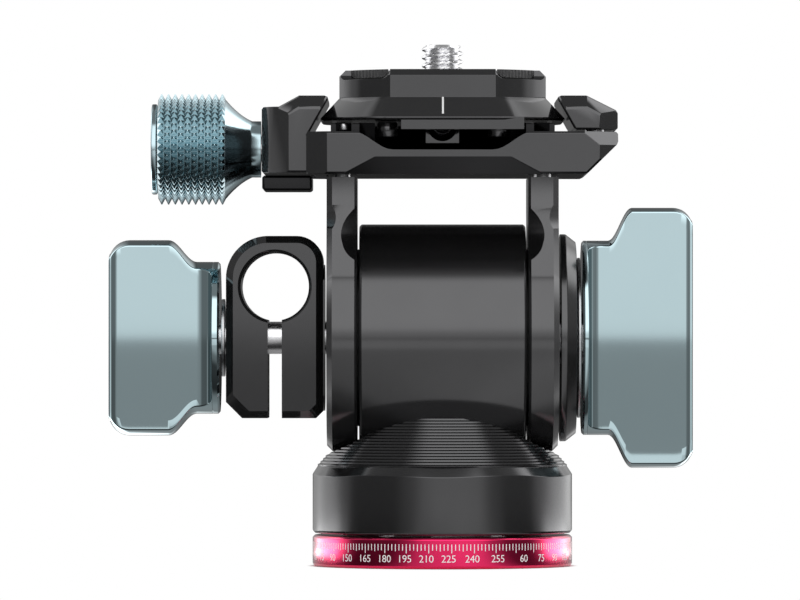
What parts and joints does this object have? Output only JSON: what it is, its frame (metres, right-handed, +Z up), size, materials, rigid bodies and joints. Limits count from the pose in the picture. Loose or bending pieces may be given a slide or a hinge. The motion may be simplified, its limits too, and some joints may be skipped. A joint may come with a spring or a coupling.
{
  "type": "fluid video head",
  "caption": "Compact fluid video head: panning base with degree ring, ribbed neck, tilting barrel between arms, wing lock knobs, pan-handle clamp and quick-release plate clamp.",
  "frame": {"origin": "on the pan axis at the underside of the degree ring, where the head stands on a tripod's plate", "axes": "+X along the tilt axle towards the tilt-lock knob, +Y away from the user, +Z up along the pan axis"},
  "size_m": [0.0903, 0.0402, 0.0807],
  "materials": {
    "black_anodised": "satin black anodised",
    "blue_grey_anodised": "satin blue-grey anodised",
    "magenta_anodised": "magenta anodised with engraved white scale",
    "bright_steel": "bright turned",
    "bronze": "turned bearing bronze",
    "polymer": "matt",
    "black_polymer": "matt",
    "pad_rubber": "matt ribbed"
  },
  "bodies": {
    "base": {"degree_ring": "magenta_anodised", "mount_disc": "black_anodised", "thread_insert": "bright_steel", "pan_spindle": "bright_steel", "pan_drag_washer": "polymer", "base_screw_1": "bright_steel", "base_screw_2": "bright_steel", "base_screw_3": "bright_steel"},
    "pan": {"pan_housing": "black_anodised", "pan_retainer": "bronze", "pan_bearing": "bronze", "drag_sleeve": "bright_steel", "tilt_bush_left": "black_polymer", "tilt_bush_right": "black_polymer"},
    "tilt": {"tilt_axle": "bright_steel", "drag_rotor": "bright_steel", "left_arm": "black_anodised", "right_arm": "black_anodised", "tilt_disc": "black_anodised", "clamp_base": "black_anodised", "fixed_jaw": "black_anodised", "safety_pin": "bright_steel", "arm_screw_1": "bright_steel", "arm_screw_2": "bright_steel", "arm_screw_3": "bright_steel", "arm_screw_4": "bright_steel", "jaw_screw_1": "bright_steel", "jaw_screw_2": "bright_steel"},
    "handle": {"handle_clamp": "black_anodised"},
    "handle_lock": {"handle_washer": "bright_steel", "handle_bolt": "bright_steel", "handle_knob": "blue_grey_anodised"},
    "tilt_lock": {"knob_spacer": "bright_steel", "tilt_knob": "blue_grey_anodised"},
    "jaw": {"sliding_jaw": "black_anodised", "jaw_guide": "black_anodised", "guide_pin_1": "bright_steel", "guide_pin_2": "bright_steel"},
    "jaw_turn": {"jaw_knob": "blue_grey_anodised", "jaw_knob_cap": "blue_grey_anodised", "clamp_screw": "bright_steel"},
    "plate": {"quick_plate": "black_anodised", "rubber_pad_front_left": "pad_rubber", "rubber_pad_front_right": "pad_rubber", "rubber_pad_back_left": "pad_rubber", "rubber_pad_back_right": "pad_rubber", "screw_cradle": "black_anodised", "plate_stop_1": "black_anodised", "plate_stop_2": "black_anodised", "plate_stop_3": "black_anodised", "plate_stop_4": "black_anodised"},
    "screw": {"camera_screw": "bright_steel"}
  },
  "joints": [
    {"name": "pan_turn", "type": "hinge", "parent": "base", "child": "pan", "pos_m": [0, 0, 0.0051], "axis": [0, 0, 1], "continuous": true},
    {"name": "tilt_turn", "type": "hinge", "parent": "pan", "child": "tilt", "pos_m": [0, 0, 0.0353], "axis": [1, 0, 0], "range_deg": [-70, 90]},
    {"name": "handle_turn", "type": "hinge", "parent": "tilt", "child": "handle", "pos_m": [0, 0, 0.0353], "axis": [1, 0, 0], "continuous": true},
    {"name": "handle_knob_turn", "type": "hinge", "parent": "handle", "child": "handle_lock", "pos_m": [0, 0, 0.0353], "axis": [-1, 0, 0], "range_deg": [0, 270]},
    {"name": "tilt_knob_turn", "type": "hinge", "parent": "tilt", "child": "tilt_lock", "pos_m": [0, 0, 0.0353], "axis": [1, 0, 0], "range_deg": [0, 270]},
    {"name": "jaw_slide", "type": "slide", "parent": "tilt", "child": "jaw", "axis": [-1, 0, 0], "range_m": [0, 0.003]},
    {"name": "jaw_knob_turn", "type": "hinge", "parent": "jaw", "child": "jaw_turn", "pos_m": [-0.03, 0, 0.0645], "axis": [-1, 0, 0], "range_deg": [0, 1080]},
    {"name": "plate_slide", "type": "slide", "parent": "tilt", "child": "plate", "axis": [0, 1, 0], "range_m": [-0.0024, 0.0024]},
    {"name": "camera_screw_turn", "type": "hinge", "parent": "plate", "child": "screw", "pos_m": [0, 0, 0.0686], "axis": [0, 0, 1], "continuous": true}
  ],
  "couplings": [
    {"joint": "jaw_knob_turn", "follows": "jaw_slide", "rad_per_m": 6283.2}
  ]
}
